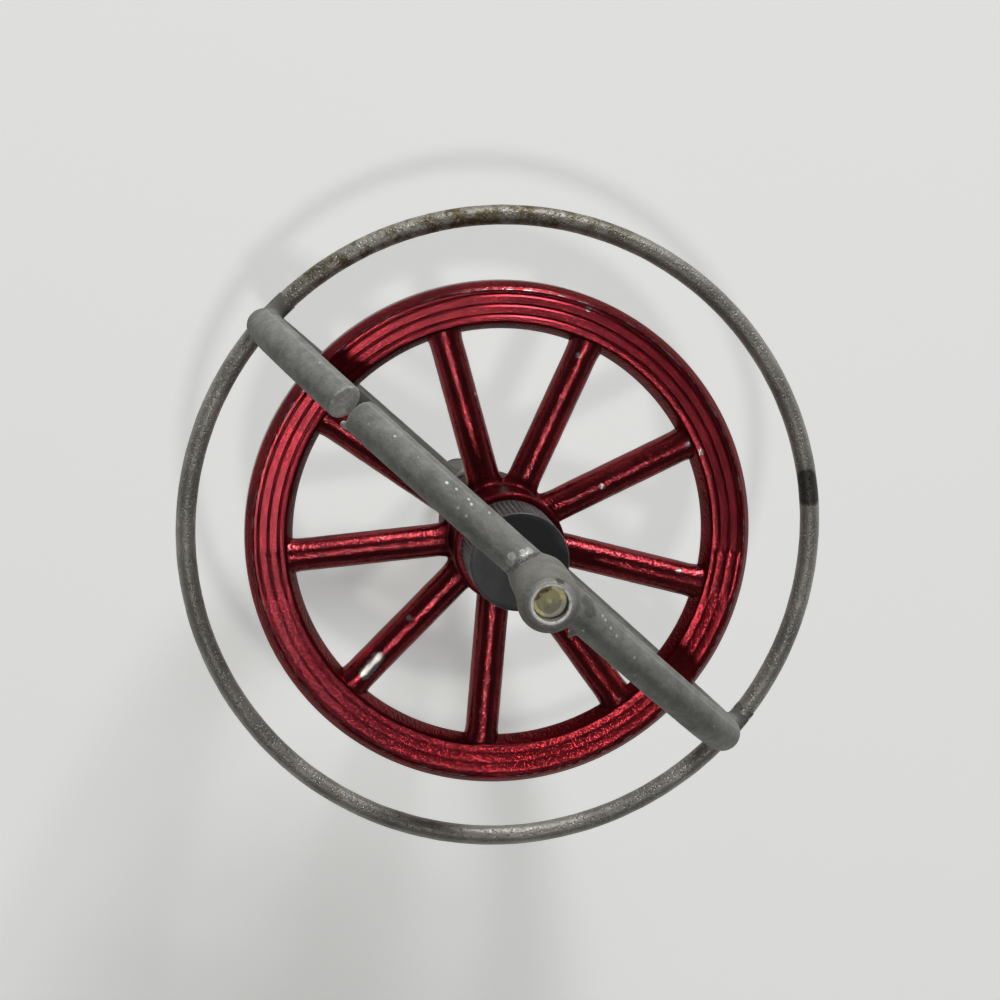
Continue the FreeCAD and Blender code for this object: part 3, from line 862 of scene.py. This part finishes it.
def spoke(name, radius, turn):
    """A round spoke along one radius, spread a little where it meets the hub and the rim."""
    first = SPOKE_STATIONS[0]
    clear_selection()
    bpy.ops.mesh.primitive_circle_add(
        vertices=36, radius=radius, location=(first[0] * MM, 0, 0), rotation=(0, math.pi / 2, 0)
    )
    piece = adopt(name)
    bpy.ops.object.mode_set(mode="EDIT")
    bpy.ops.mesh.select_all(action="SELECT")
    bpy.ops.transform.resize(value=(1, first[1], first[2]))
    for here, there in zip(SPOKE_STATIONS, SPOKE_STATIONS[1:]):
        step = ((there[0] - here[0]) * MM, 0, 0)
        bpy.ops.mesh.extrude_region_move(TRANSFORM_OT_translate={"value": step})
        bpy.ops.transform.resize(value=(1, there[1] / here[1], there[2] / here[2]))
    bpy.ops.mesh.select_all(action="SELECT")
    bpy.ops.mesh.fill_holes(sides=64)
    close_shape()
    piece.rotation_euler = (0, 0, turn)
    bpy.ops.object.transform_apply(rotation=True)
    return piece


def rim(outer):
    """The rim: sloped opening, grooves on each face that fade on one side, chamfer and outer band."""
    half, depth = RIM_HALF_THICKNESS, GROOVE_DEPTH
    face = [(20.9, half, 0.12)]
    for number in range(GROOVE_COUNT):
        middle = FIRST_GROOVE + GROOVE_PITCH * number
        face += [
            (middle - GROOVE_HALF_WIDTH, half, 0), (middle, half - depth, 0.05),
            (middle + GROOVE_HALF_WIDTH, half, 0),
        ]
    face += [(24.05, half, 0.1), (outer, 0.75, 0.15)]
    rear = [(across, -up, rounding) for across, up, rounding in reversed(face)]
    band = turned("wheel_rim", [(20.05, 0, 0.25)] + face + rear, 432)
    edit(band)
    for start, share in ((-2, 0.3), (2, 0.3), (6, 0.25)):

        def in_faded_groove(co):
            sunk = half - depth - 0.01 < co.z / MM < half - 0.005
            on_face = 21.3 < math.hypot(co.x, co.y) / MM < 23.9
            return sunk and on_face and 0.66 * co.x - 0.75 * co.y > start * MM

        pick(band, in_faded_groove)
        bpy.ops.transform.translate(value=(0, 0, share * depth * MM))
    bpy.ops.object.mode_set(mode="OBJECT")
    return band


class MakeWheel(bpy.types.Operator):
    """Models the flywheel: hub, round spokes and grooved rim in one red casting"""

    bl_idname = "gyroscope.make_wheel"
    bl_label = "Flywheel"

    def execute(self, context):
        sizes = context.scene.gyroscope_wheel
        outer, half = wheel_high.x / MM, wheel_high.z / MM
        neck = half - HUB_LIP_HEIGHT
        hub = turned("wheel_casting", [
            (0, -half, 0), (HUB_RADIUS, -half, 0.15), (HUB_RADIUS, neck, 0), (HUB_LIP_RADIUS, neck, 0.15),
            (HUB_LIP_RADIUS, half, 0.15), (0, half, 0),
        ], 96)
        parts = [hub]
        for number in range(sizes.spoke_count):
            turn = sizes.spoke_start + TURN * number / sizes.spoke_count
            parts.append(spoke(f"spoke_{number}", sizes.spoke_radius, turn))
        wheel = weld("wheel_casting", parts)
        apply(wheel, "REMESH", mode="VOXEL", voxel_size=0.19 * MM)
        apply(wheel, "SMOOTH", factor=0.5, iterations=8)
        grain(wheel, "wheel_waves", 1.6, 0.05)
        band = rim(outer)
        grain(band, "rim_waves", 1.5, 0.007)
        combine(wheel, band, "UNION")
        clear_selection()
        bpy.ops.mesh.primitive_cylinder_add(vertices=64, radius=AXLE_HOLE_RADIUS * MM, depth=4 * half * MM)
        combine(wheel, bpy.context.object, "DIFFERENCE")
        smooth(wheel, 22)
        settle(wheel, "rotor", "wheel_red", wheel_red(sizes.lacquer), "flywheel")
        return {"FINISHED"}


class MakeDrums(bpy.types.Operator):
    """Models the knurled front drum and the tapered rear one"""

    bl_idname = "gyroscope.make_drums"
    bl_label = "Drums"

    def execute(self, context):
        sizes = context.scene.gyroscope_drum
        foot, end, radius = drum_low.z / MM, drum_high.z / MM, drum_high.x / MM
        steps_per_knurl = 5
        steps = steps_per_knurl * sizes.knurl_count
        drum = turned("front_knurled_drum", [
            (AXLE_HOLE_RADIUS, foot, 0), (radius, foot, 0.08), (radius, foot + 0.35, 0),
            (radius, end - 0.45, 0), (radius, end, 0.2), (4.1, end, 0), (1.6, end, 0),
            (AXLE_HOLE_RADIUS, end, 0.08),
        ], steps)
        edit(drum)
        low, high = (foot + 0.3) * MM, (end - 0.4) * MM
        for reach, depth in ((0, 1.0), (1, 0.5), (steps_per_knurl - 1, 0.5)):

            def in_groove(co):
                step = round(math.atan2(co.y, co.x) / TURN * steps) % steps_per_knurl
                return step == reach and low < co.z < high and math.hypot(co.x, co.y) > 4 * MM

            pick(drum, in_groove)
            factor = 1 - depth * sizes.knurl_depth / (radius * MM)
            bpy.ops.transform.resize(value=(factor, factor, 1), center_override=(0, 0, 0))
        close_shape()
        rear = facing_rear(turned("tapered_drum", [
            (AXLE_HOLE_RADIUS, foot, 0), (REAR_DRUM_FOOT, foot, 0.08), (REAR_DRUM_FOOT, foot + 1.3, 0.3),
            (REAR_DRUM_END, end, 0.2), (AXLE_HOLE_RADIUS, end, 0.08),
        ], 96), "rear_tapered_drum")
        bpy.data.objects.remove(bpy.data.objects["tapered_drum"])
        finish = drum_black(sizes.black)
        for piece, node in ((drum, "front_drum"), (rear, "rear_drum")):
            smooth(piece, 25)
            settle(piece, "rotor", "drum_black", finish, node)
        return {"FINISHED"}


class FinishNodes(bpy.types.Operator):
    """Gives the bearings and the axle their metal finishes"""

    bl_idname = "gyroscope.finish_nodes"
    bl_label = "Bearings and axle"

    def execute(self, context):
        brass, steel = bearing_brass(), axle_steel()
        for node, finish in (("front_bearing", brass), ("rear_bearing", brass), ("axle", steel)):
            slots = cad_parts[node].data.materials
            slots.clear()
            slots.append(finish)
        return {"FINISHED"}


def plain(name, tint, roughness):
    """A stage finish: one pale colour with a faint paper grain, lifted a little where it is seen."""
    f = Finish(name)
    f.set("Base Color", f.blend(f.noise(30.0, 3.0), [c * 0.985 for c in tint] + [1], list(tint) + [1]))
    f.set("Roughness", roughness)
    paths = f.add("ShaderNodeLightPath").outputs
    seen = f.math("MAXIMUM", paths["Is Camera Ray"], paths["Is Glossy Ray"])
    f.set("Emission Color", list(tint) + [1])
    f.set("Emission Strength", f.math("MULTIPLY", seen, FLOOR_GLOW))
    return f.material


def lamp(name, direction, width, height, watts, tint):
    """A soft rectangular lamp in this direction from the wheel's centre, turned towards it."""
    data = bpy.data.lights.new(name, "AREA")
    data.shape = "RECTANGLE"
    data.size = width
    data.size_y = height
    data.energy = watts
    data.color = tint
    source = bpy.data.objects.new(name, data)
    bpy.context.scene.collection.objects.link(source)
    source.location = Vector(direction) * LAMP_DISTANCE
    source.rotation_euler = (-source.location).to_track_quat("-Z", "Y").to_euler()


class SetStage(bpy.types.Operator):
    """Sets the pale floor, the lamps, the surroundings and the camera"""

    bl_idname = "gyroscope.set_stage"
    bl_label = "Stage"

    def execute(self, context):
        scene = context.scene
        clear_selection()
        bpy.ops.mesh.primitive_plane_add(size=6, location=(0, 0, CAD_BOX[0][2]))
        floor = adopt("stage_floor")
        floor.data.materials.append(plain("stage_paper", FLOOR_TINT, 0.9))

        lamp("overhead_lamp", OVERHEAD_DIRECTION, 0.08, 0.08, 3.0, (1.0, 0.985, 0.96))
        lamp("side_window", SIDE_DIRECTION, 0.36, 0.3, 15.0, (0.97, 0.985, 1.0))

        world = bpy.data.worlds.new("studio")
        scene.world = world
        world.use_nodes = True
        nodes, links = world.node_tree.nodes, world.node_tree.links
        sky = nodes.new("ShaderNodeTexCoord")
        split = nodes.new("ShaderNodeSeparateXYZ")
        ramp = nodes.new("ShaderNodeValToRGB")
        links.new(sky.outputs["Generated"], split.inputs[0])
        links.new(split.outputs["Z"], ramp.inputs["Fac"])
        links.new(ramp.outputs["Color"], nodes["Background"].inputs["Color"])
        while len(ramp.color_ramp.elements) < len(SKY_BANDS):
            ramp.color_ramp.elements.new(0.5)
        for stop, (height, level) in zip(ramp.color_ramp.elements, SKY_BANDS):
            stop.position = height
            stop.color = (level, level, level * 0.98, 1)
        nodes["Background"].inputs["Strength"].default_value = 1.0

        data = bpy.data.cameras.new("camera")
        data.sensor_width = 36
        data.lens = CAMERA_LENS
        data.clip_start = 0.01
        camera = bpy.data.objects.new("camera", data)
        scene.collection.objects.link(camera)
        look = Vector(CAMERA_LOOK).normalized()
        right = look.cross(Vector(CAMERA_UP)).normalized()
        up = right.cross(look)
        turn = Matrix((right, up, -look)).transposed().to_4x4()
        camera.matrix_world = Matrix.Translation(Vector(CAMERA_PLACE) * MM) @ turn
        scene.camera = camera
        scene.view_settings.view_transform = "Standard"
        return {"FINISHED"}


class GyroscopePanel(bpy.types.Panel):
    """Lists the gyroscope's pieces and its stage"""

    bl_idname = "VIEW3D_PT_gyroscope"
    bl_label = "Toy gyroscope"
    bl_space_type = "VIEW_3D"
    bl_region_type = "UI"
    bl_category = "Gyroscope"

    def draw(self, context):
        for operator in OPERATORS:
            self.layout.operator(operator.bl_idname)
        for name in GROUPS:
            group = getattr(context.scene, name)
            box = self.layout.box()
            for key in group.bl_rna.properties.keys():
                if key not in ("rna_type", "name"):
                    box.prop(group, key)


OPERATORS = (MakeRing, MakeCasting, MakeCups, MakeWheel, MakeDrums, FinishNodes, SetStage)
GROUPS = {
    "gyroscope_casting": CastingSizes,
    "gyroscope_ring": RingSizes,
    "gyroscope_wheel": WheelSizes,
    "gyroscope_drum": DrumSizes,
}


def register():
    """Adds the sizes, the operators and the panel to Blender."""
    for group in GROUPS.values():
        bpy.utils.register_class(group)
    for name, group in GROUPS.items():
        setattr(bpy.types.Scene, name, bpy.props.PointerProperty(type=group))
    for operator in OPERATORS:
        bpy.utils.register_class(operator)
    bpy.utils.register_class(GyroscopePanel)


def unregister():
    """Takes them out again."""
    bpy.utils.unregister_class(GyroscopePanel)
    for operator in reversed(OPERATORS):
        bpy.utils.unregister_class(operator)
    for name, group in GROUPS.items():
        delattr(bpy.types.Scene, name)
        bpy.utils.unregister_class(group)


def main():
    """Makes every piece and the stage."""
    register()
    bpy.ops.gyroscope.make_ring()
    bpy.ops.gyroscope.make_casting()
    bpy.ops.gyroscope.make_cups()
    bpy.ops.gyroscope.make_wheel()
    bpy.ops.gyroscope.make_drums()
    bpy.ops.gyroscope.finish_nodes()
    bpy.ops.gyroscope.set_stage()


if __name__ == "__main__":
    main()
